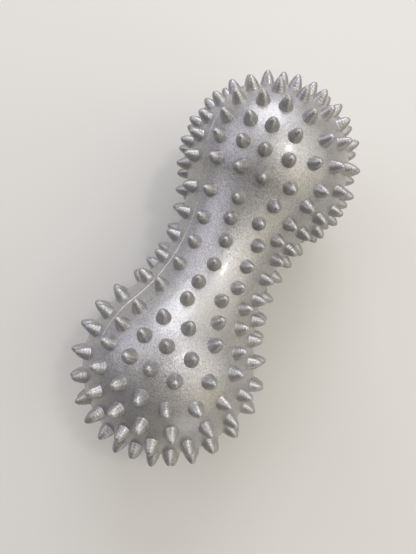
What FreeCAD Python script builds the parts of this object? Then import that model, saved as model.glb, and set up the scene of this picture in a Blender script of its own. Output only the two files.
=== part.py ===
"""Peanut massage ball: one hollow moulded skin with two ball-shaped lobes, a slim waist and spikes.

Millimetres. +X runs along the ball, +Z is up. The ball lies as it comes to rest, on two rows of
spikes of each lobe, and the origin is on the floor under the middle of its box.
The spikes are laid out in the mould's own axes first, where +X runs along the ball, the parting
plane of the two mould halves is Z = 0 and each half opens along Z. One turn about X then lays the
ball on its spikes.
"""
import FreeCAD, Part
import math
import os

Vector = FreeCAD.Vector
Rotation = FreeCAD.Rotation

# Driving dimensions of the skin
LOBE_RADIUS = 32.5
LOBE_SPACING = 87.6
WAIST_RADIUS = 21.0
WALL = 3.0

# Driving dimensions of a spike: a cone with a ball for a tip
SPIKE_HEIGHT = 4.6
SPIKE_BASE_RADIUS = 2.65
SPIKE_TIP_RADIUS = 1.2
SPIKE_ROOT = 1.2

# The thin flash that the mould leaves where its halves meet
FLASH_HEIGHT = 0.25
FLASH_WIDTH = 0.4

# Rings of spikes round the top of each lobe, in each mould half:
# how many go round the whole ring, and the angle from the ring axis down to the ring
RINGS = ((6, 17.5), (12, 34.0), (16, 49.0), (20, 63.0), (24, 79.5))
RING_AXIS_LEAN = 2.5
RING_CROWDING = 4.0

# Rows of spikes across the waist, in a quarter of each mould half: the share of the way along the
# skin from the middle of the waist to the lobe, and the angle up from the parting plane
WAIST_ROWS = (
    ((0.00, 17.0), (0.33, 15.0), (0.68, 13.0)),
    ((0.16, 45.0), (0.44, 40.0), (0.70, 39.0)),
    ((0.00, 75.0), (0.29, 75.0), (0.53, 65.0), (0.80, 68.0)),
    ((0.485, 90.0), (0.74, 90.0), (1.04, 90.0)),
)

# The second mould half has its spikes this much further along the ball than the first
SECOND_HALF_SHIFT = 0.8

# The ball rests between these two rings, counted from the top of the lobe
RESTING_RINGS = (1, 2)

EIGHTH_TURN = 45.0
QUARTER_TURN = 90.0
FULL_TURN = 360.0

# The outline is an arc over each lobe and one hollow arc over the waist, tangent where they meet
LOBE_CENTRE = LOBE_SPACING / 2
WAIST_ARC_RADIUS = (
    (LOBE_CENTRE ** 2 + WAIST_RADIUS ** 2 - LOBE_RADIUS ** 2) / (2 * (LOBE_RADIUS - WAIST_RADIUS))
)
WAIST_ARC_CENTRE = WAIST_RADIUS + WAIST_ARC_RADIUS
JOINT_ANGLE = math.atan2(LOBE_CENTRE, WAIST_ARC_CENTRE)
WAIST_ARC_LENGTH = WAIST_ARC_RADIUS * JOINT_ANGLE


def on_skin(arc):
    """The point of the outline at an arc from the middle of the waist, and its outward direction.

    Both are pairs: along the ball, and away from its axis.
    """
    reach = abs(arc)
    side = math.copysign(1.0, arc)
    if reach < WAIST_ARC_LENGTH:
        turn = reach / WAIST_ARC_RADIUS
        along = WAIST_ARC_RADIUS * math.sin(turn)
        away = WAIST_ARC_CENTRE - WAIST_ARC_RADIUS * math.cos(turn)
        return (side * along, away), (-side * math.sin(turn), math.cos(turn))
    turn = (reach - WAIST_ARC_LENGTH) / LOBE_RADIUS - JOINT_ANGLE
    along = LOBE_CENTRE + LOBE_RADIUS * math.sin(turn)
    return (side * along, LOBE_RADIUS * math.cos(turn)), (side * math.sin(turn), math.cos(turn))


def outline_arcs(grow):
    """The closed outline in the parting plane, moved outwards by grow."""
    lobe = LOBE_RADIUS + grow
    waist = WAIST_ARC_RADIUS - grow
    joint_x = waist * math.sin(JOINT_ANGLE)
    joint_y = WAIST_ARC_CENTRE - waist * math.cos(JOINT_ANGLE)
    middle_y = WAIST_ARC_CENTRE - waist
    end_x = LOBE_CENTRE + lobe
    top_left = Vector(-joint_x, joint_y, 0)
    top_right = Vector(joint_x, joint_y, 0)
    bottom_right = Vector(joint_x, -joint_y, 0)
    bottom_left = Vector(-joint_x, -joint_y, 0)
    return (
        Part.Arc(top_left, Vector(0, middle_y, 0), top_right).toShape(),
        Part.Arc(top_right, Vector(end_x, 0, 0), bottom_right).toShape(),
        Part.Arc(bottom_right, Vector(0, -middle_y, 0), bottom_left).toShape(),
        Part.Arc(bottom_left, Vector(-end_x, 0, 0), top_left).toShape(),
    )


def waist_body(grow):
    """The waist as a solid turned about the ball's axis, its surface moved outwards by grow."""
    waist = WAIST_ARC_RADIUS - grow
    joint_x = waist * math.sin(JOINT_ANGLE)
    joint_y = WAIST_ARC_CENTRE - waist * math.cos(JOINT_ANGLE)
    left = Vector(-joint_x, joint_y, 0)
    middle = Vector(0, WAIST_ARC_CENTRE - waist, 0)
    right = Vector(joint_x, joint_y, 0)
    left_foot = Vector(-joint_x, 0, 0)
    right_foot = Vector(joint_x, 0, 0)
    edges = (
        Part.LineSegment(left_foot, left).toShape(),
        Part.Arc(left, middle, right).toShape(),
        Part.LineSegment(right, right_foot).toShape(),
        Part.LineSegment(right_foot, left_foot).toShape(),
    )
    return Part.Face(Part.Wire(edges)).revolve(Vector(0, 0, 0), Vector(1, 0, 0), FULL_TURN)


def lobe_body(side, grow):
    """One lobe: a ball, its surface moved outwards by grow, cut off flat where the waist joins it.

    The ball is a half disc on the waist's side, turned about an axis across the peanut, so its poles
    and its seam lie in the parting plane, where no spike stands.
    """
    lobe = LOBE_RADIUS + grow
    centre_x = side * LOBE_CENTRE
    joint_x = side * (WAIST_ARC_RADIUS - grow) * math.sin(JOINT_ANGLE)
    near = Vector(centre_x, lobe, 0)
    inner = Vector(centre_x - side * lobe, 0, 0)
    far = Vector(centre_x, -lobe, 0)
    edges = (Part.Arc(near, inner, far).toShape(), Part.LineSegment(far, near).toShape())
    half_disc = Part.Face(Part.Wire(edges))
    ball = half_disc.revolve(Vector(centre_x, 0, 0), Vector(0, 1, 0), FULL_TURN)
    corner = Vector(joint_x - lobe - side * lobe, -lobe - WALL, -lobe - WALL)
    waist_side = Part.makeBox(2 * lobe, 2 * (lobe + WALL), 2 * (lobe + WALL), corner)
    return ball.cut(waist_side)


def plain_body(grow):
    """The ball without spikes, its surface moved outwards by grow."""
    return waist_body(grow).multiFuse([lobe_body(1, grow), lobe_body(-1, grow)])


def flash_plate():
    """A thin plate in the parting plane, whose rim stands out of the skin as the flash line."""
    plate = Part.Face(Part.Wire(outline_arcs(FLASH_HEIGHT)))
    plate.translate(Vector(0, 0, -FLASH_WIDTH / 2))
    return plate.extrude(Vector(0, 0, FLASH_WIDTH))


def spike():
    """One spike standing on Z = 0 with its root below: a cone that runs smoothly into a ball tip."""
    ball_centre = SPIKE_HEIGHT - SPIKE_TIP_RADIUS
    span = math.hypot(SPIKE_BASE_RADIUS, ball_centre)
    lean = math.atan2(ball_centre, SPIKE_BASE_RADIUS) + math.asin(SPIKE_TIP_RADIUS / span)
    side = math.sqrt(span ** 2 - SPIKE_TIP_RADIUS ** 2)
    touch = Vector(SPIKE_BASE_RADIUS - side * math.cos(lean), 0, side * math.sin(lean))
    root = Vector(SPIKE_BASE_RADIUS + SPIKE_ROOT / math.tan(lean), 0, -SPIKE_ROOT)
    foot = Vector(0, 0, -SPIKE_ROOT)
    top = Vector(0, 0, SPIKE_HEIGHT)
    half_tip = (math.pi - lean) / 2
    over = Vector(
        SPIKE_TIP_RADIUS * math.sin(half_tip), 0, ball_centre + SPIKE_TIP_RADIUS * math.cos(half_tip)
    )
    edges = (
        Part.LineSegment(foot, root).toShape(),
        Part.LineSegment(root, touch).toShape(),
        Part.Arc(touch, over, top).toShape(),
        Part.LineSegment(top, foot).toShape(),
    )
    return Part.Face(Part.Wire(edges)).revolve(Vector(0, 0, 0), Vector(0, 0, 1), FULL_TURN)


def ring_spots():
    """Where the rings stand on one lobe of one mould half: arc from the waist, angle round the ball."""
    lean = math.radians(RING_AXIS_LEAN)
    lobe_top_arc = WAIST_ARC_LENGTH + LOBE_RADIUS * JOINT_ANGLE
    spots = [(lobe_top_arc + LOBE_RADIUS * lean, QUARTER_TURN)]
    for count, down in RINGS:
        for number in range(count):
            bearing = FULL_TURN * number / count
            side = 1 if bearing <= FULL_TURN / 2 else -1
            bearing = min(bearing, FULL_TURN - bearing)
            past = max(bearing - QUARTER_TURN, 0)
            bearing = math.radians(bearing - RING_CROWDING * math.sin(math.radians(2 * past)))
            out = math.sin(math.radians(down)) * math.cos(bearing)
            across = math.sin(math.radians(down)) * math.sin(bearing) * side
            up = math.cos(math.radians(down))
            arc = lobe_top_arc + LOBE_RADIUS * math.asin(out * math.cos(lean) + up * math.sin(lean))
            height = up * math.cos(lean) - out * math.sin(lean)
            if arc > WAIST_ARC_LENGTH:
                spots.append((arc, math.degrees(math.atan2(height, across))))
    return spots


def waist_spots():
    """Where the waist rows stand on half of one mould half: arc from the waist, angle round."""
    spots = []
    for row in WAIST_ROWS:
        for share, angle in row:
            arc = share * WAIST_ARC_LENGTH
            spots.append((arc, angle))
            if angle < QUARTER_TURN:
                spots.append((arc, 2 * QUARTER_TURN - angle))
    return spots


def spike_places():
    """The foot and the outward direction of every spike, in the mould's axes."""
    places = []
    for arc, angle in ring_spots() + waist_spots():
        ends = (arc, -arc) if arc > 0 else (arc,)
        for end in ends:
            for half, shift in ((1, 0.0), (-1, SECOND_HALF_SHIFT)):
                point, outward = on_skin(end + shift)
                round_y = math.cos(math.radians(angle))
                round_z = math.sin(math.radians(angle)) * half
                foot = Vector(point[0], point[1] * round_y, point[1] * round_z)
                places.append((foot, Vector(outward[0], outward[1] * round_y, outward[1] * round_z)))
    return places


def resting_roll():
    """The turn about X that puts the middle between the two resting rings straight down."""
    angles = []
    for ring in RESTING_RINGS:
        down = math.radians(RINGS[ring][1])
        up = math.cos(down) * math.cos(math.radians(RING_AXIS_LEAN))
        angles.append(math.degrees(math.atan2(up, math.sin(down))))
    return QUARTER_TURN - sum(angles) / len(angles)


def skin():
    """The whole ball in the mould's axes: body, flash and spikes in one, hollow inside.

    Each spike is turned an eighth about its own axis, which keeps its seam off the parting plane and
    off the plane that the crest row stands in.
    """
    one_spike = spike()
    pieces = [flash_plate()]
    for foot, outward in spike_places():
        stand = Rotation(Vector(0, 0, 1), outward).multiply(Rotation(Vector(0, 0, 1), EIGHTH_TURN))
        piece = one_spike.copy()
        piece.Placement = FreeCAD.Placement(foot, stand)
        pieces.append(piece)
    outside = plain_body(0.0).multiFuse(pieces)
    return outside.cut(plain_body(-WALL))


def seat_offset(roll):
    """The move that puts the box of all spike tips, once turned, on the floor about the origin."""
    turn = Rotation(Vector(1, 0, 0), roll)
    reach = SPIKE_HEIGHT - SPIKE_TIP_RADIUS
    tips = [turn.multVec(foot + outward * reach) for foot, outward in spike_places()]
    middle_x = (min(tip.x for tip in tips) + max(tip.x for tip in tips)) / 2
    middle_y = (min(tip.y for tip in tips) + max(tip.y for tip in tips)) / 2
    lowest = min(tip.z for tip in tips) - SPIKE_TIP_RADIUS
    return Vector(-middle_x, -middle_y, -lowest)


def massage_ball():
    """The ball lying at rest on the floor."""
    roll = resting_roll()
    ball = skin().Solids[0]
    ball.rotate(Vector(0, 0, 0), Vector(1, 0, 0), roll)
    ball.translate(seat_offset(roll))
    return ball


if __name__ == "__main__":
    os.makedirs("parts", exist_ok=True)
    ball = massage_ball()
    print("spikes", len(spike_places()), "faces", len(ball.Faces), "shells", len(ball.Shells))
    print("volume in cubic centimetres", round(ball.Volume / 1000, 2), "valid", ball.isValid())
    ball.exportStep("parts/massage_ball.step")
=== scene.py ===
# %% [markdown]
# # A silver peanut massage ball
#
# The object is a hollow ball in the shape of a peanut: two round lobes, a slim waist between them
# and 336 blunt spikes all over. It is rotomoulded, which means that a closed metal mould is turned
# in an oven while soft PVC paste gels on its walls, so the whole ball is one skin in one colour.
# This lesson builds that skin as one closed mesh, gives it a silver pearl finish, and lights it
# softly on a pale floor.
#
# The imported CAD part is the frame: it says where the ball lies and how large it is. Everything here
# is worked out in the same place, so nothing has to be moved into position afterwards. The shapes
# are computed in millimetres and turned to metres when the mesh is made.

# %% Load the frame
import math

import bpy
import numpy as np
from mathutils import Matrix, Vector
from mathutils.geometry import delaunay_2d_cdt


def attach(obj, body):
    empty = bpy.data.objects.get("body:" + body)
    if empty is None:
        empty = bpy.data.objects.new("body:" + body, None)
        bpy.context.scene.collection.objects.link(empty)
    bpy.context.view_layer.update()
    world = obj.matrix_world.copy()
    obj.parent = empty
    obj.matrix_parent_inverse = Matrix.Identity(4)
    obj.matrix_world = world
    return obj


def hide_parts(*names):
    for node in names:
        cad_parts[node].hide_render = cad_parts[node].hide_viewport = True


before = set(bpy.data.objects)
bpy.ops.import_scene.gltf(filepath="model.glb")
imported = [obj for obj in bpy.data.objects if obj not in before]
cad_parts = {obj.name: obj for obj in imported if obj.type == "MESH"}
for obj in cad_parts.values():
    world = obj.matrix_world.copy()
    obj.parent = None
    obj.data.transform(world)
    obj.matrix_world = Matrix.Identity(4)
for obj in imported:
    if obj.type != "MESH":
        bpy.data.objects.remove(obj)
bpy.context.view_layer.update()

MM = 0.001


# %% [markdown]
# ## The outline
#
# Seen from the side, the ball without its spikes is two circles joined by a hollow curve. One way
# to draw it is a spline through measured points. Two arcs that meet without a kink are better here:
# a mould maker would turn the cavity from the same two radii, and every point of an arc and its
# outward direction have an exact formula. The sizes are those of the CAD part.

# %% Sizes of the skin, in millimetres
LOBE_RADIUS = 32.5
LOBE_SPACING = 87.6
WAIST_RADIUS = 21.0

LOBE_CENTRE = LOBE_SPACING / 2
WAIST_ARC_RADIUS = (
    (LOBE_CENTRE ** 2 + WAIST_RADIUS ** 2 - LOBE_RADIUS ** 2) / (2 * (LOBE_RADIUS - WAIST_RADIUS))
)
WAIST_ARC_CENTRE = WAIST_RADIUS + WAIST_ARC_RADIUS
JOINT_ANGLE = math.atan2(LOBE_CENTRE, WAIST_ARC_CENTRE)
WAIST_ARC_LENGTH = WAIST_ARC_RADIUS * JOINT_ANGLE
HALF_OUTLINE = WAIST_ARC_LENGTH + LOBE_RADIUS * (JOINT_ANGLE + math.pi / 2)
print("waist arc radius:", round(WAIST_ARC_RADIUS, 1))
print("outline from the waist to the end:", round(HALF_OUTLINE, 1))


# %% The outline as a function of its length
def outline(arc):
    """Points of the outline and its outward directions, at arcs measured from the waist's middle.

    Up to the joint the arc turns about a centre outside the waist: along = R sin(turn) and
    away = centre - R cos(turn). Past the joint it turns about the middle of the lobe:
    along = centre + r sin(turn), away = r cos(turn). Negative arcs run to the other lobe.
    """
    reach = np.abs(arc)
    side = np.where(arc < 0, -1.0, 1.0)
    on_waist = reach < WAIST_ARC_LENGTH
    waist_turn = reach / WAIST_ARC_RADIUS
    lobe_turn = (reach - WAIST_ARC_LENGTH) / LOBE_RADIUS - JOINT_ANGLE
    along = np.where(
        on_waist,
        WAIST_ARC_RADIUS * np.sin(waist_turn),
        LOBE_CENTRE + LOBE_RADIUS * np.sin(lobe_turn),
    )
    away = np.where(
        on_waist,
        WAIST_ARC_CENTRE - WAIST_ARC_RADIUS * np.cos(waist_turn),
        LOBE_RADIUS * np.cos(lobe_turn),
    )
    lean = np.where(on_waist, -waist_turn, lobe_turn)
    return side * along, away, side * np.sin(lean), np.cos(lean)


def turned(along, away, angle):
    """Turns outline values about the X axis: y = away cos(angle), z = away sin(angle)."""
    return np.stack([along, away * np.cos(angle), away * np.sin(angle)], axis=-1)


joint_along, joint_away, _, _ = outline(np.array([WAIST_ARC_LENGTH]))
print("the arcs meet at", joint_along.round(1), "along and", joint_away.round(1), "away")

# %% Height above the skin and its outward directions
TINY = 1e-9
DROP_STEPS = 6


def unit(vectors):
    """The same directions, each made one long."""
    return vectors / np.linalg.norm(vectors, axis=-1, keepdims=True)


def place_by_waist(points):
    """Each point's distance along the ball and away from its axis, and if the waist arc is nearer.

    The waist arc is nearer where along < (centre - away) x tan(angle at which the arcs meet).
    """
    along = np.abs(points[:, 0])
    away = np.hypot(points[:, 1], points[:, 2])
    return along, away, along < (WAIST_ARC_CENTRE - away) * math.tan(JOINT_ANGLE)


def height_above_skin(points):
    """How far points lie outside the skin: distance to the nearer arc's centre, less its radius."""
    along, away, over_waist = place_by_waist(points)
    from_waist = WAIST_ARC_RADIUS - np.hypot(along, WAIST_ARC_CENTRE - away)
    from_lobe = np.hypot(along - LOBE_CENTRE, away) - LOBE_RADIUS
    return np.where(over_waist, from_waist, from_lobe)


def drop_to_skin(points, direction):
    """Slides points along nearly square-on directions until they lie on the skin."""
    for _ in range(DROP_STEPS):
        points = points - height_above_skin(points)[:, None] * direction
    return points


def skin_normals(points):
    """Outward directions of the skin at points on it.

    They point away from the lobe's middle, or towards the waist arc's centre. They are worked out
    in the half-plane of the point and turned to it.
    """
    along, away, over_waist = place_by_waist(points)
    away = np.maximum(away, TINY)
    normal_along = np.where(
        over_waist, -along / WAIST_ARC_RADIUS, (along - LOBE_CENTRE) / LOBE_RADIUS
    )
    normal_away = np.where(
        over_waist, (WAIST_ARC_CENTRE - away) / WAIST_ARC_RADIUS, away / LOBE_RADIUS
    )
    return unit(np.stack([
        np.sign(points[:, 0]) * normal_along,
        normal_away * points[:, 1] / away,
        normal_away * points[:, 2] / away,
    ], axis=1))


lobe_top = np.array([[LOBE_CENTRE, 0.0, LOBE_RADIUS]])
print("height of a lobe's top above the skin:", height_above_skin(lobe_top).round(6))

# %% [markdown]
# ## Where the spikes stand
#
# The mould has two halves that part along a lengthwise plane, and a toolmaker drills each half's
# spike holes in a pattern. On the lobes the holes stand in rings round the top of each half, with
# 6, 12, 16, 20 and 24 in a full ring. Over the waist they stand in a few rows instead. Scattering
# points at random would be quicker to write, but the real pattern is regular and the eye sees it at
# once. So the places come from the same short rules that the CAD part uses.

# %% The rings of spikes: how many are in a full ring, and degrees down from its axis
RINGS = ((6, 17.5), (12, 34.0), (16, 49.0), (20, 63.0), (24, 79.5))
RING_AXIS_LEAN = 2.5
RING_CROWDING = 4.0


def ring_spots():
    """Arc and angle of each ring spike on one lobe of one mould half.

    A ring is a circle round an axis that leans a little outwards: down is the angle from that axis
    and bearing the angle round it, counted from the outward end. Towards the waist the bearings
    crowd together. Places that would fall on the waist are dropped.
    """
    lean = math.radians(RING_AXIS_LEAN)
    top_arc = WAIST_ARC_LENGTH + LOBE_RADIUS * JOINT_ANGLE
    spots = [np.array([[top_arc + LOBE_RADIUS * lean, 90.0]])]
    for count, down in RINGS:
        bearing = 360.0 * np.arange(count) / count
        side = np.where(bearing <= 180.0, 1.0, -1.0)
        bearing = np.minimum(bearing, 360.0 - bearing)
        past = np.maximum(bearing - 90.0, 0.0)
        bearing = np.radians(bearing - RING_CROWDING * np.sin(np.radians(2 * past)))
        out = math.sin(math.radians(down)) * np.cos(bearing)
        across = math.sin(math.radians(down)) * np.sin(bearing) * side
        up = math.cos(math.radians(down))
        arc = top_arc + LOBE_RADIUS * np.arcsin(out * math.cos(lean) + up * math.sin(lean))
        height = up * math.cos(lean) - out * math.sin(lean)
        angle = np.degrees(np.arctan2(height, across))
        spots.append(np.stack([arc, angle], axis=1)[arc > WAIST_ARC_LENGTH])
    return np.concatenate(spots)


print("ring spikes on a lobe of a half:", len(ring_spots()))

# %% The rows on the waist: each spike's share of the waist arc, and its angle in degrees
WAIST_ROWS = (
    ((0.00, 17.0), (0.33, 15.0), (0.68, 13.0)),
    ((0.16, 45.0), (0.44, 40.0), (0.70, 39.0)),
    ((0.00, 75.0), (0.29, 75.0), (0.53, 65.0), (0.80, 68.0)),
    ((0.485, 90.0), (0.74, 90.0), (1.04, 90.0)),
)


def waist_spots():
    """Arc and angle of each waist spike on one end of a mould half, mirrored across its middle."""
    rows = np.array([spot for row in WAIST_ROWS for spot in row])
    rows[:, 0] *= WAIST_ARC_LENGTH
    mirrored = rows[rows[:, 1] < 90.0]
    mirrored = np.stack([mirrored[:, 0], 180.0 - mirrored[:, 1]], axis=1)
    return np.concatenate([rows, mirrored])


print("waist spikes on an end of a half:", len(waist_spots()))

# %% Both mould halves, the second one drilled a little further along
SECOND_HALF_SHIFT = 0.8


def spikes_of_half(shift):
    """Foot and outward direction of each spike of the upper mould half, moved by shift along it."""
    spots = np.concatenate([ring_spots(), waist_spots()])
    other_end = spots[spots[:, 0] > 0] * [-1.0, 1.0]
    spots = np.concatenate([spots, other_end])
    along, away, normal_along, normal_away = outline(spots[:, 0] + shift)
    angle = np.radians(spots[:, 1])
    return turned(along, away, angle), turned(normal_along, normal_away, angle)


first_feet, first_out = spikes_of_half(0.0)
second_feet, second_out = spikes_of_half(SECOND_HALF_SHIFT)
print("spikes in each mould half:", len(first_feet), len(second_feet))

# %% [markdown]
# ## One spike
#
# Each spike is a blunt cone: its side is nearly straight low down and rounds over into a broad tip,
# a little fuller than the cone with a ball tip that stands for it in CAD. The hole for it in the
# mould was cut by a turning tool, so the shape is a profile carried round an axis. A cone object
# could be copied to each place instead, but then no foot would join the skin. There are hundreds of
# spikes, so one gets only a few dozen faces, and exact normals stored on the corners make those few
# faces shade as a smooth curve.

# %% The spike's profile, in millimetres
SPIKE_HEIGHT = 4.6
SPIKE_BASE_RADIUS = 2.65
SIDE_FULLNESS = 1.17
TIP_BLUNTNESS = 0.50
RING_SHARES = np.array([0.0, 0.40, 0.76, 0.94])


def spike_profile(share):
    """Radius of the spike at a share of its height, and how fast it grows with the share.

    Radius = base x (1 - share to the power of fullness) to the power of bluntness. A greater
    fullness swells the side, and a smaller bluntness flattens the tip.
    """
    left = 1.0 - share ** SIDE_FULLNESS
    radius = SPIKE_BASE_RADIUS * left ** TIP_BLUNTNESS
    growth = -TIP_BLUNTNESS * SIDE_FULLNESS * share ** (SIDE_FULLNESS - 1.0) / left
    return radius, radius * growth


RING_HEIGHTS = RING_SHARES * SPIKE_HEIGHT
RING_RADII, ring_growth = spike_profile(RING_SHARES)
RING_SLOPES = ring_growth / SPIKE_HEIGHT
print("heights of a spike's rings:", RING_HEIGHTS.round(2), "radii:", RING_RADII.round(2))

# %% All the spikes at once
SPIKE_SIDES = 14
CREASE_SOFTNESS = 0.3
NEARLY_LENGTHWISE = 0.9


def across_spikes(outward):
    """Two unit directions square to each outward direction and to each other, right-handed."""
    lengthwise = np.abs(outward[:, :1]) > NEARLY_LENGTHWISE
    helper = np.where(lengthwise, [[0.0, 1.0, 0.0]], [[1.0, 0.0, 0.0]])
    first = unit(np.cross(helper, outward))
    return first, np.cross(outward, first)


def spike_rings(feet, outward):
    """Points and normals of all rings of all spikes, as arrays [spike, ring, side, xyz].

    A point is foot + outward x height + radius x (first cos(turn) + second sin(turn)). The lowest
    ring is dropped onto the curved skin, where it becomes the spike's foot line. There the normals
    lean part of the way to the skin's, which softens the crease.
    """
    first, second = across_spikes(outward)
    turn = 2 * math.pi * np.arange(SPIKE_SIDES)[:, None] / SPIKE_SIDES
    spoke = (first[:, None] * np.cos(turn) + second[:, None] * np.sin(turn))[:, None]
    outward = outward[:, None, None]
    points = (
        feet[:, None, None]
        + outward * RING_HEIGHTS[:, None, None]
        + spoke * RING_RADII[:, None, None]
    )
    along_spike = np.repeat(outward.reshape(-1, 3), SPIKE_SIDES, axis=0)
    foot_lines = drop_to_skin(points[:, 0].reshape(-1, 3), along_spike)
    points[:, 0] = foot_lines.reshape(-1, SPIKE_SIDES, 3)
    normals = unit(spoke - outward * RING_SLOPES[:, None, None])
    foot_normals = skin_normals(foot_lines).reshape(-1, SPIKE_SIDES, 3)
    normals[:, 0] = (1 - CREASE_SOFTNESS) * normals[:, 0] + CREASE_SOFTNESS * foot_normals
    return points, unit(normals)


first_rings, first_ring_normals = spike_rings(first_feet, first_out)
second_rings, second_ring_normals = spike_rings(second_feet, second_out)
print("spikes, rings and sides of the first half:", first_rings.shape[:3])

# %% [markdown]
# ## One closed skin
#
# The spikes could simply be pushed into a smooth body, but then the mesh would be hundreds of
# overlapping shells, and the real ball is one skin. A Boolean union would leave slivers that spoil
# the shine round each foot. So the skin is stitched: half of the ball is unrolled onto a flat map,
# the foot lines of its spikes are drawn on the map, and a Delaunay triangulation fills the space
# between them with well-shaped triangles. The map keeps areas: across it runs the arc, and up it
# runs the distance round the ball from the middle of the half.


# %% The flat map of a half
def unrolled(points):
    """Flat map of a half: x = arc from the waist, y = away x (quarter turn - angle round)."""
    along, away, over_waist = place_by_waist(points)
    waist_arc = WAIST_ARC_RADIUS * np.arctan2(along, WAIST_ARC_CENTRE - away)
    lobe_turn = JOINT_ANGLE + np.arctan2(along - LOBE_CENTRE, away)
    lobe_arc = WAIST_ARC_LENGTH + LOBE_RADIUS * lobe_turn
    arc = np.sign(points[:, 0]) * np.where(over_waist, waist_arc, lobe_arc)
    angle_round = np.arctan2(points[:, 2], points[:, 1])
    return np.stack([arc, away * (math.pi / 2 - angle_round)], axis=1)


print("place of the lobe's top on the map:", unrolled(lobe_top).round(1))

# %% The edge of a half, in the parting plane
EDGE_POINTS = 280
FLASH_HALF_WIDTH = 0.2


def parting_edge():
    """The outline all the way round in the parting plane, and its outward directions."""
    arc = HALF_OUTLINE * (2 * np.arange(EDGE_POINTS) / EDGE_POINTS - 1)
    level = np.zeros(EDGE_POINTS)
    points, normals = [], []
    for way in (1, -1):
        along, away, normal_along, normal_away = outline(way * arc)
        points.append(turned(along, way * away, level))
        normals.append(turned(normal_along, way * normal_away, level))
    return np.concatenate(points), np.concatenate(normals)


edge_points, edge_normals = parting_edge()
skin_edge = drop_to_skin(edge_points + [0.0, 0.0, FLASH_HALF_WIDTH], edge_normals)
print("points on the edge of a half:", len(skin_edge))

# %% Points between the spikes
SKIN_SPACING = 1.45
ROW_SPACING = SKIN_SPACING * math.sqrt(3) / 2
CLEARANCE = 0.5 * SKIN_SPACING


def lattice_on_skin():
    """Points in staggered rows at even spacing over the upper half: row i runs round at one arc."""
    rows = int(HALF_OUTLINE / ROW_SPACING)
    per_row = int(math.pi / 2 * LOBE_RADIUS / SKIN_SPACING) + 1
    row, column = np.mgrid[-rows:rows + 1, -per_row:per_row + 1]
    arc = (row * ROW_SPACING).ravel()
    round_it = ((column + 0.5 * (row % 2)) * SKIN_SPACING).ravel()
    along, away, _, _ = outline(arc)
    inside = np.abs(round_it) < away * math.pi / 2
    angle = math.pi / 2 - round_it[inside] / away[inside]
    return turned(along[inside], away[inside], angle)


def points_between(feet):
    """The lattice points of a half that keep clear of its edge and of all its spikes."""
    lattice = lattice_on_skin()
    clear_of_edge = lattice[:, 2] > FLASH_HALF_WIDTH + CLEARANCE
    to_feet = np.linalg.norm(lattice[:, None, :] - feet[None, :, :], axis=2).min(axis=1)
    return lattice[clear_of_edge & (to_feet > SPIKE_BASE_RADIUS + CLEARANCE)]


print("points between the spikes of the first half:", len(points_between(first_feet)))

# %% Stitch the skin of a half
FILL_THE_HULL = 0


def lines_round(loops):
    """Lines from each point of closed loops to the next one, as pairs of point numbers."""
    return np.stack([loops, np.roll(loops, -1, axis=-1)], axis=-1).reshape(-1, 2)


def stitched_half(feet, rings):
    """Points and triangles of the upper half: first its edge, then the foot lines, then the rest.

    Two kinds of triangle are left out again: those past the edge, in the hollows of the map, and
    those under a spike, whose three corners are all on one foot line.
    """
    foot_lines = rings[:, 0].reshape(-1, 3)
    points = np.concatenate([skin_edge, foot_lines, points_between(feet)])
    edge_index = np.arange(len(skin_edge))
    foot_index = len(skin_edge) + np.arange(len(foot_lines)).reshape(-1, SPIKE_SIDES)
    lines = np.concatenate([lines_round(edge_index), lines_round(foot_index)]).tolist()
    flat_points = unrolled(points)
    kept, _, triangles, *_ = delaunay_2d_cdt(flat_points, lines, [], FILL_THE_HULL, TINY, False)
    assert len(kept) == len(points), "two points of the map fell together"
    triangles = np.array(triangles)

    middles = flat_points[triangles].mean(axis=1)
    away = outline(middles[:, 0])[1]
    edge_angle = np.arcsin(np.minimum(FLASH_HALF_WIDTH / away, 1.0))
    past_edge = np.abs(middles[:, 1]) > away * (math.pi / 2 - edge_angle)
    all_on_edge = (triangles < len(skin_edge)).all(axis=1)
    triangles = triangles[~(all_on_edge & past_edge)]

    owner = np.full(len(points), -1)
    owner[foot_index] = np.arange(len(feet))[:, None]
    owners = owner[triangles]
    under_spike = (owners[:, 0] >= 0) & (owners == owners[:, :1]).all(axis=1)
    return points, triangles[~under_spike]


first_body, first_triangles = stitched_half(first_feet, first_rings)
second_body, second_triangles = stitched_half(second_feet, second_rings)
print("points and triangles of the first half:", len(first_body), len(first_triangles))


# %% Set the spikes on their foot lines
def spike_corners(spikes):
    """Faces of all spikes, as numbers of a spike's own points: bands between rings, and tip fans.

    The points are numbered spike by spike, ring by ring, side by side, with the tip last.
    """
    table = np.arange(spikes * (RING_SHARES.size * SPIKE_SIDES + 1)).reshape(spikes, -1)
    ring = table[:, :-1].reshape(spikes, -1, SPIKE_SIDES)
    beside = np.roll(ring, -1, axis=2)
    bands = np.stack([ring[:, :-1], beside[:, :-1], beside[:, 1:], ring[:, 1:]], axis=-1)
    tip = np.repeat(table[:, -1:], SPIKE_SIDES, axis=1)
    fans = np.stack([ring[:, -1], beside[:, -1], tip], axis=-1)
    return bands.reshape(-1, 4), fans.reshape(-1, 3)


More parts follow.
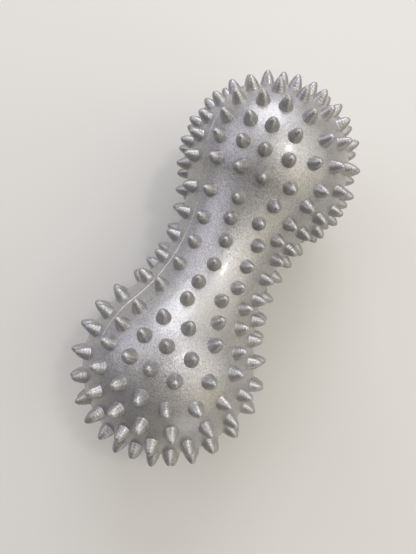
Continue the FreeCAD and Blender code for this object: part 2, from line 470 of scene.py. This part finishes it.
def finished_half(body, triangles, feet, outward, rings, ring_normals):
    """Points, heights on the spikes, faces and corner normals of the upper half with its spikes.

    The lowest ring of a spike is the foot line that the skin already has, so the same points get
    the skin's normals in the triangles and the spike's normals in the lowest band.
    """
    spikes = len(feet)
    upper = rings[:, 1:].reshape(-1, 3)
    points = np.concatenate([body, upper, feet + outward * SPIKE_HEIGHT])
    heights = np.concatenate([
        np.zeros(len(body)),
        np.tile(np.repeat(RING_HEIGHTS[1:], SPIKE_SIDES), spikes),
        np.full(spikes, SPIKE_HEIGHT),
    ])
    foot_index = len(skin_edge) + np.arange(spikes * SPIKE_SIDES)
    upper_index = len(body) + np.arange(len(upper))
    tip_index = len(body) + len(upper) + np.arange(spikes)
    point_index = np.concatenate(
        [index.reshape(spikes, -1) for index in (foot_index, upper_index, tip_index)], axis=1
    ).ravel()
    spike_normals = np.concatenate(
        [ring_normals.reshape(spikes, -1, 3), outward[:, None]], axis=1
    ).reshape(-1, 3)
    bands, fans = spike_corners(spikes)
    faces = [triangles, point_index[bands], point_index[fans]]
    normals = [skin_normals(body)[triangles], spike_normals[bands], spike_normals[fans]]
    return points, heights, faces, normals


first_points, first_heights, first_faces, first_normals = finished_half(
    first_body, first_triangles, first_feet, first_out, first_rings, first_ring_normals
)
second_points, second_heights, second_faces, second_normals = finished_half(
    second_body, second_triangles, second_feet, second_out, second_rings, second_ring_normals
)
print("points of each half with its spikes:", len(first_points), len(second_points))

# %% [markdown]
# ## The flash line
#
# Where the mould halves meet, a little PVC creeps into the joint and is trimmed, which leaves a
# fine raised line all the way round. It could be a bump in the finish. It is made here as geometry,
# a low ridge between the two halves, so that it catches the light from any side as the real one
# does. Round the outer ends of the lobes the trimming knife takes it down nearly flush.

# %% The ridge
FLASH_HEIGHT = 0.25
FLASH_END_HEIGHT = 0.06
TRIM_START, TRIM_END = LOBE_CENTRE - 8.0, LOBE_CENTRE + 6.0

# The crest is at full height over the waist and falls in a straight line near the lobe's middle.
crest_height = np.interp(
    np.abs(edge_points[:, :1]), [TRIM_START, TRIM_END], [FLASH_HEIGHT, FLASH_END_HEIGHT]
)
crest_points = edge_points + edge_normals * crest_height
crest_index = len(first_points) + len(second_points) + np.arange(len(crest_points))


def ridge_flank(edge, up):
    """Faces and corner normals of one flank of the ridge, from the edge of a half to the crest.

    Its normal is outward x half its width + up x its height, made one long.
    """
    slope = unit(edge_normals * FLASH_HALF_WIDTH + np.array([0.0, 0.0, up]) * crest_height)
    after = np.roll(slope, -1, axis=0)
    strip = np.stack([edge, np.roll(edge, -1), np.roll(crest_index, -1), crest_index], axis=1)
    return strip, np.stack([slope, after, after, slope], axis=1)


first_edge = np.arange(len(skin_edge))
second_edge = len(first_points) + first_edge
first_flank, first_flank_normals = ridge_flank(first_edge, 1.0)
second_flank, second_flank_normals = ridge_flank(second_edge, -1.0)
print("ridge height from", crest_height.max(), "down to", round(crest_height.min(), 2))

# %% Put the halves and the ridge together
MIRROR = np.array([1.0, 1.0, -1.0])

# The second half was worked out as an upper half. It is mirrored, so its faces are turned round.
mould_points = np.concatenate([first_points, second_points * MIRROR, crest_points])
spike_heights = np.concatenate([first_heights, second_heights, np.zeros(len(crest_points))])
faces = (
    first_faces
    + [(group + len(first_points))[:, ::-1] for group in second_faces]
    + [first_flank, second_flank[:, ::-1]]
)
corner_normals = (
    first_normals
    + [(group * MIRROR)[:, ::-1] for group in second_normals]
    + [first_flank_normals, second_flank_normals[:, ::-1]]
)
print("faces of the whole skin:", sum(len(group) for group in faces))

# %% [markdown]
# ## Laying the ball down
#
# So far the ball sits in the mould's axes, with the parting plane level. On a floor it rolls until
# it lies on two rows of spikes of each lobe. Dropping it in a physics simulation would find that
# place too, but not the same one each time. One turn about its long axis and one move do it, with
# the same rule as in the CAD part: the middle between two rings points straight down, and the
# lowest ball tip of the CAD spikes touches the floor.

# %% The resting turn and move
RESTING_RINGS = (1, 2)
CAD_TIP_RADIUS = 1.2


def resting_roll():
    """Quarter turn less the mean angle of the two resting rings, seen along the ball."""
    down = np.radians([RINGS[ring][1] for ring in RESTING_RINGS])
    up = np.cos(down) * math.cos(math.radians(RING_AXIS_LEAN))
    return math.pi / 2 - float(np.arctan2(up, np.sin(down)).mean())


roll = resting_roll()
TURN = np.array([
    [1.0, 0.0, 0.0],
    [0.0, math.cos(roll), -math.sin(roll)],
    [0.0, math.sin(roll), math.cos(roll)],
])
tip_reach = SPIKE_HEIGHT - CAD_TIP_RADIUS
tip_centres = np.concatenate([
    first_feet + first_out * tip_reach,
    (second_feet + second_out * tip_reach) * MIRROR,
]) @ TURN.T
lowest, highest = tip_centres.min(axis=0), tip_centres.max(axis=0)
SEAT = -np.array([
    (lowest[0] + highest[0]) / 2,
    (lowest[1] + highest[1]) / 2,
    lowest[2] - CAD_TIP_RADIUS,
])
print("turned by", round(math.degrees(roll), 2), "degrees and moved by", SEAT.round(2), "mm")

# %% [markdown]
# ## The mesh
#
# The arrays become one mesh. Its own corner normals keep the coarse spikes round to the eye. Each
# point also carries its height on its spike, zero on the skin, so that the finish can tell spike
# from skin and draw the rings that the turning tool left.

# %% Make the mesh
points = (mould_points @ TURN.T + SEAT) * MM
face_list = [face for group in faces for face in group.tolist()]
skin_mesh = bpy.data.meshes.new("skin")
skin_mesh.from_pydata(points.tolist(), [], face_list)
skin_mesh.polygons.foreach_set("use_smooth", np.ones(len(skin_mesh.polygons), dtype=bool))
all_normals = np.concatenate([group.reshape(-1, 3) for group in corner_normals]) @ TURN.T
skin_mesh.normals_split_custom_set(all_normals.tolist())
height_on_spike = skin_mesh.attributes.new("height_on_spike", "FLOAT", "POINT")
height_on_spike.data.foreach_set("value", spike_heights.astype(np.float32))
skin_mesh.validate(verbose=False)
skin = bpy.data.objects.new("skin", skin_mesh)
bpy.context.scene.collection.objects.link(skin)

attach(skin, "root")
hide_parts("massage_ball")
counts = [len(part) for part in (skin_mesh.vertices, skin_mesh.edges, skin_mesh.polygons)]
print("skin: points, edges and faces", counts)
print("points - edges + faces, 2 on one closed skin:", counts[0] - counts[1] + counts[2])

# %% [markdown]
# ## The finish
#
# The real material is plasticised PVC with a silver pearl pigment: tiny mica and aluminium flakes
# that lie nearly flat in the skin. To the eye that is a grey plastic that shines like satin metal,
# brightest where it faces the light and dark where it slopes away, with a fine sparkle, under the
# thin gloss that a polished mould leaves. On the spikes the pearl is smoother, and their colour is
# painted a little darker: painted shade for the dark reflections on their steep sides. A picture
# could be wrapped round the ball, but patterns in space need no seams, and each one gets its scale
# from a size in millimetres. Flakes and grain are finer on the real ball. They are drawn as coarse
# as they need to be to show.


# %% Colour and node helpers
def linear(hex_colour):
    """sRGB hex to linear RGBA: c / 12.92 near black, else (c + 0.055) / 1.055 to the power 2.4."""
    srgb = np.array([int(hex_colour[i:i + 2], 16) for i in (1, 3, 5)]) / 255
    rgb = np.where(srgb <= 0.04045, srgb / 12.92, ((srgb + 0.055) / 1.055) ** 2.4)
    return (*rgb.tolist(), 1.0)


def add(tree, kind, settings=None, inputs=None):
    """Adds one node, sets its settings, and gives its inputs values or links from other nodes."""
    node = tree.nodes.new(kind)
    for name, value in (settings or {}).items():
        setattr(node, name, value)
    for name, value in (inputs or {}).items():
        if isinstance(value, bpy.types.NodeSocket):
            tree.links.new(value, node.inputs[name])
        else:
            node.inputs[name].default_value = value
    return node


def new_material(name):
    """An empty node material and its tree."""
    material = bpy.data.materials.new(name)
    material.use_nodes = True
    material.node_tree.nodes.clear()
    return material, material.node_tree


pearl, tree = new_material("silver_pearl_pvc")
place = add(tree, "ShaderNodeTexCoord").outputs["Object"]
on_spike = add(tree, "ShaderNodeAttribute", {"attribute_name": "height_on_spike"}).outputs["Fac"]
print("material:", pearl.name)

# %% The colour of the pearl: flakes, a slow drift to a warmer grey, and painted shade on the spikes
FLAKE_SIZE = 0.27
PEARL_DARK, PEARL_LIGHT = "#8f8d8c", "#bab8b6"
DRIFT_SIZE = 30.0
DRIFT_FROM, DRIFT_TO = 0.45, 0.65
PEARL_WARM, WARM_SHARE = "#b5b0a2", 0.35
PEARL_PAINTED_SHADE, PAINTED_SHADE_SHARE = "#6f6d6b", 0.12
PAINTED_SHADE_BY_HEIGHT = 1.2

flakes = add(tree, "ShaderNodeTexVoronoi", {"feature": "F1"},
             {"Vector": place, "Scale": 1 / (FLAKE_SIZE * MM), "Randomness": 1.0})
flake_split = add(tree, "ShaderNodeSeparateColor", None, {"Color": flakes.outputs["Color"]})
flake_colour = add(tree, "ShaderNodeMix", {"data_type": "RGBA"}, {
    "Factor": flake_split.outputs["Red"], "A": linear(PEARL_DARK), "B": linear(PEARL_LIGHT),
})
drift = add(tree, "ShaderNodeTexNoise", None, {
    "Vector": place, "Scale": 1 / (DRIFT_SIZE * MM), "Detail": 2.0, "Roughness": 0.5,
})
warmth = add(tree, "ShaderNodeMapRange", None, {
    "Value": drift.outputs["Fac"], "From Min": DRIFT_FROM, "From Max": DRIFT_TO,
    "To Min": 0.0, "To Max": WARM_SHARE,
})
drifted = add(tree, "ShaderNodeMix", {"data_type": "RGBA"}, {
    "Factor": warmth.outputs["Result"], "A": flake_colour.outputs["Result"],
    "B": linear(PEARL_WARM),
})
# Painted shade: the spikes are mixed towards a darker grey with their height, standing in for the
# dark reflections on their steep sides.
painted_spike_shade = add(tree, "ShaderNodeMapRange", None, {
    "Value": on_spike, "From Min": 0.0, "From Max": PAINTED_SHADE_BY_HEIGHT,
    "To Min": 0.0, "To Max": PAINTED_SHADE_SHARE,
})
base = add(tree, "ShaderNodeMix", {"data_type": "RGBA"}, {
    "Factor": painted_spike_shade.outputs["Result"], "A": drifted.outputs["Result"], "B": linear(PEARL_PAINTED_SHADE),
})
print("flakes per millimetre:", round(1 / FLAKE_SIZE, 1))

# %% Flakes that tilt the shine, less on the spikes
FLAKE_TILT, SPIKE_FLAKE_TILT = 0.11, 0.02
FULL_SPIKE_FINISH = 1.0

flake_tilt = add(tree, "ShaderNodeMapRange", None, {
    "Value": on_spike, "From Min": 0.0, "From Max": FULL_SPIKE_FINISH,
    "To Min": FLAKE_TILT, "To Max": SPIKE_FLAKE_TILT,
})
centred = add(tree, "ShaderNodeVectorMath", {"operation": "SUBTRACT"},
              {0: flakes.outputs["Color"], 1: (0.5, 0.5, 0.5)})
tilt = add(tree, "ShaderNodeVectorMath", {"operation": "SCALE"},
           {0: centred.outputs["Vector"], "Scale": flake_tilt.outputs["Result"]})
surface = add(tree, "ShaderNodeNewGeometry").outputs["Normal"]
tilted = add(tree, "ShaderNodeVectorMath", {"operation": "ADD"},
             {0: surface, 1: tilt.outputs["Vector"]})
flake_normal = add(tree, "ShaderNodeVectorMath", {"operation": "NORMALIZE"},
                   {0: tilted.outputs["Vector"]})
print("flake tilt on the skin and on the spikes:", FLAKE_TILT, SPIKE_FLAKE_TILT)

# %% The fine grain of gelled PVC
GRAIN_SIZE = 0.55
GRAIN_DEPTH = 0.02
GRAIN_STRENGTH, SPIKE_GRAIN_STRENGTH = 0.5, 0.08

grain = add(tree, "ShaderNodeTexNoise", None, {
    "Vector": place, "Scale": 1 / (GRAIN_SIZE * MM), "Detail": 3.0, "Roughness": 0.6,
})
grain_strength = add(tree, "ShaderNodeMapRange", None, {
    "Value": on_spike, "From Min": 0.0, "From Max": FULL_SPIKE_FINISH,
    "To Min": GRAIN_STRENGTH, "To Max": SPIKE_GRAIN_STRENGTH,
})
grain_bump = add(tree, "ShaderNodeBump", None, {
    "Height": grain.outputs["Fac"], "Distance": GRAIN_DEPTH * MM,
    "Strength": grain_strength.outputs["Result"], "Normal": flake_normal.outputs["Vector"],
})
print("grain size and depth in millimetres:", GRAIN_SIZE, GRAIN_DEPTH)

# %% Polish lines beside the parting line
# The joint of the mould is stoned flat, which leaves faint lines beside it. Their pattern runs with
# the distance off the parting plane, which is the place along the plane's normal less the seat's,
# and they fade out within a few millimetres.
POLISH_PITCH = 1.0
POLISH_DEPTH = 0.25
POLISH_FULL, POLISH_REACH = 0.3, 6.0

plane_normal = TURN[:, 2]
along_normal = add(tree, "ShaderNodeVectorMath", {"operation": "DOT_PRODUCT"},
                   {0: place, 1: plane_normal.tolist()})
off_plane = add(tree, "ShaderNodeMath", {"operation": "SUBTRACT"},
                {0: along_normal.outputs["Value"], 1: float(SEAT @ plane_normal) * MM})
distance_off = add(tree, "ShaderNodeMath", {"operation": "ABSOLUTE"},
                   {0: off_plane.outputs["Value"]})
polish_share = add(tree, "ShaderNodeMapRange", None, {
    "Value": distance_off.outputs["Value"], "From Min": POLISH_FULL * MM,
    "From Max": POLISH_REACH * MM, "To Min": 1.0, "To Max": 0.0,
})
polish_noise = add(tree, "ShaderNodeTexNoise", {"noise_dimensions": "1D"}, {
    "W": off_plane.outputs["Value"], "Scale": 1 / (POLISH_PITCH * MM), "Detail": 1.0,
})
polish_lines = add(tree, "ShaderNodeMath", {"operation": "MULTIPLY"},
                   {0: polish_noise.outputs["Fac"], 1: polish_share.outputs["Result"]})
polish_bump = add(tree, "ShaderNodeBump", None, {
    "Height": polish_lines.outputs["Value"], "Distance": POLISH_DEPTH * MM, "Strength": 1.0,
    "Normal": grain_bump.outputs["Normal"],
})
print("polish lines reach", POLISH_REACH, "mm from the parting line")

# %% Turned rings on the spikes
# The tool that turned each hole left fine rings in it. They are a sine wave of the height.
RING_PITCH = 0.9
RING_DEPTH = 0.03
RING_STRENGTH = 0.5

ring_phase = add(tree, "ShaderNodeMath", {"operation": "MULTIPLY"},
                 {0: on_spike, 1: 2 * math.pi / RING_PITCH})
ring_wave = add(tree, "ShaderNodeMath", {"operation": "SINE"}, {0: ring_phase.outputs["Value"]})
ring_bump = add(tree, "ShaderNodeBump", None, {
    "Height": ring_wave.outputs["Value"], "Distance": RING_DEPTH * MM, "Strength": RING_STRENGTH,
    "Normal": polish_bump.outputs["Normal"],
})
print("turned rings on each spike:", int(SPIKE_HEIGHT / RING_PITCH))

# %% Satin shine under a thin gloss
GRAIN_LOW, GRAIN_HIGH = 0.3, 0.7
SATIN_LOW, SATIN_HIGH = 0.36, 0.46
SPIKE_GLOSS = 0.05
PEARL_METALLIC = 0.65
PVC_IOR = 1.5
GLOSS_WEIGHT, GLOSS_ROUGHNESS = 0.35, 0.13

satin = add(tree, "ShaderNodeMapRange", None, {
    "Value": grain.outputs["Fac"], "From Min": GRAIN_LOW, "From Max": GRAIN_HIGH,
    "To Min": SATIN_LOW, "To Max": SATIN_HIGH,
})
spike_gloss = add(tree, "ShaderNodeMapRange", None, {
    "Value": on_spike, "From Min": 0.0, "From Max": FULL_SPIKE_FINISH,
    "To Min": 0.0, "To Max": SPIKE_GLOSS,
})
roughness = add(tree, "ShaderNodeMath", {"operation": "SUBTRACT"},
                {0: satin.outputs["Result"], 1: spike_gloss.outputs["Result"]})
shader = add(tree, "ShaderNodeBsdfPrincipled", None, {
    "Base Color": base.outputs["Result"],
    "Metallic": PEARL_METALLIC,
    "Roughness": roughness.outputs["Value"],
    "IOR": PVC_IOR,
    "Coat Weight": GLOSS_WEIGHT,
    "Coat Roughness": GLOSS_ROUGHNESS,
    "Coat IOR": PVC_IOR,
    "Normal": ring_bump.outputs["Normal"],
})
add(tree, "ShaderNodeOutputMaterial", None, {"Surface": shader.outputs["BSDF"]})
skin_mesh.materials.append(pearl)
print("nodes in the finish:", len(tree.nodes))

# %% [markdown]
# ## The floor
#
# A plain pale floor takes the shadow. It reaches far past the view, so that it fills the background
# and shows in the gloss of the ball from below. A curved backdrop would do the same, but the camera
# looks down, so a flat one is enough.

# %% Make the floor
FLOOR_HALF = 3.0
FLOOR_COLOUR, FLOOR_ROUGHNESS = "#cfccc5", 0.7

floor_corners = FLOOR_HALF * np.array([[-1, -1, 0], [1, -1, 0], [1, 1, 0], [-1, 1, 0]])
floor_mesh = bpy.data.meshes.new("floor")
floor_mesh.from_pydata(floor_corners.tolist(), [], [(0, 1, 2, 3)])
floor = bpy.data.objects.new("floor", floor_mesh)
bpy.context.scene.collection.objects.link(floor)
matt, floor_tree = new_material("pale_floor")
floor_shader = add(floor_tree, "ShaderNodeBsdfPrincipled", None,
                   {"Base Color": linear(FLOOR_COLOUR), "Roughness": FLOOR_ROUGHNESS})
add(floor_tree, "ShaderNodeOutputMaterial", None, {"Surface": floor_shader.outputs["BSDF"]})
floor_mesh.materials.append(matt)
print("floor size in metres:", 2 * FLOOR_HALF)

# %% [markdown]
# ## The light
#
# A satin surface shows what it reflects, so each lamp is placed for the patch of shine that it
# leaves. A large soft ceiling leans to the far end and lights nearly everything. A small hot lamp
# in front of it makes the glints. Three weaker windows, at the far end, the side and the near end,
# and a pale wall on the near side lift the flanks. The sky fills the rest. One even dome of light
# would be simpler, but it would leave the pearl flat and dull. The camera can't see the lamps
# themselves, so views from the side show none.

# %% The lamps and the sky
BALL_MIDDLE = Vector((0.0, 0.0, 0.037))
LAMPS = (
    # name, direction from the ball, distance and size in metres, power in watts, colour
    ("ceiling", (0.46, -0.28, 0.84), 1.25, 2.1, 13.8, "#fffefc"),
    ("hot_lamp", (0.30, -0.24, 0.92), 0.85, 0.08, 0.95, "#ffffff"),
    ("far_window", (0.75, 0.36, 0.53), 0.9, 0.54, 3.7, "#eef1ff"),
    ("side_window", (0.02, 0.78, 0.62), 1.1, 0.9, 3.8, "#eeeeff"),
    ("near_wall", (-0.05, -0.80, 0.58), 1.0, 1.0, 2.7, "#fff6e0"),
    ("end_window", (-0.72, -0.66, 0.20), 1.0, 0.5, 0.85, "#f4f4ff"),
)
SKY_COLOUR, SKY_STRENGTH = "#cccccc", 0.32


def hang_lamp(name, direction, distance, size, power, tint):
    """A square area lamp at a distance along a direction from the ball, facing it."""
    data = bpy.data.lights.new(name, "AREA")
    data.size = size
    data.energy = power
    data.color = linear(tint)[:3]
    lamp = bpy.data.objects.new(name, data)
    away = Vector(direction).normalized()
    lamp.location = away * distance + BALL_MIDDLE
    lamp.rotation_mode = "QUATERNION"
    lamp.rotation_quaternion = away.to_track_quat("Z", "Y")
    lamp.visible_camera = False
    bpy.context.scene.collection.objects.link(lamp)


for lamp_settings in LAMPS:
    hang_lamp(*lamp_settings)
world = bpy.data.worlds.new("sky")
world.use_nodes = True
bpy.context.scene.world = world
sky = world.node_tree.nodes["Background"]
sky.inputs["Color"].default_value = linear(SKY_COLOUR)
sky.inputs["Strength"].default_value = SKY_STRENGTH
print("lamps:", [settings[0] for settings in LAMPS])

# %% [markdown]
# ## The camera
#
# The camera looks almost straight down from close by, which is why the nearer parts look larger. A
# longer lens from further away would flatten them. Its place and direction were fitted until the
# lobes and the rows of spikes fell where they should.

# %% Set up the camera
PHOTO_WIDTH, PHOTO_HEIGHT = 416, 554
FOCAL_PIXELS = 416.0
SENSOR_WIDTH = 36.0
NEAREST = 0.01
CAMERA_FROM_MIDDLE = np.array([-27.5, -1.2, 164.7])
LOOK = Vector((0.1231, 0.0166, -0.9923)).normalized()
UP = Vector((0.8889, 0.4428, 0.1177))

camera_data = bpy.data.cameras.new("camera")
camera_data.sensor_width = SENSOR_WIDTH
camera_data.lens = FOCAL_PIXELS * SENSOR_WIDTH / max(PHOTO_WIDTH, PHOTO_HEIGHT)
camera_data.clip_start = NEAREST
camera = bpy.data.objects.new("camera", camera_data)
camera_right = LOOK.cross(UP).normalized()
camera_up = camera_right.cross(LOOK)
camera_turn = Matrix((camera_right, camera_up, -LOOK)).transposed().to_4x4()
camera_place = Vector((CAMERA_FROM_MIDDLE + SEAT) * MM)
camera.matrix_world = Matrix.Translation(camera_place) @ camera_turn
bpy.context.scene.collection.objects.link(camera)
bpy.context.scene.camera = camera
bpy.context.scene.view_settings.view_transform = "Standard"
print("lens in millimetres:", round(camera_data.lens, 1))
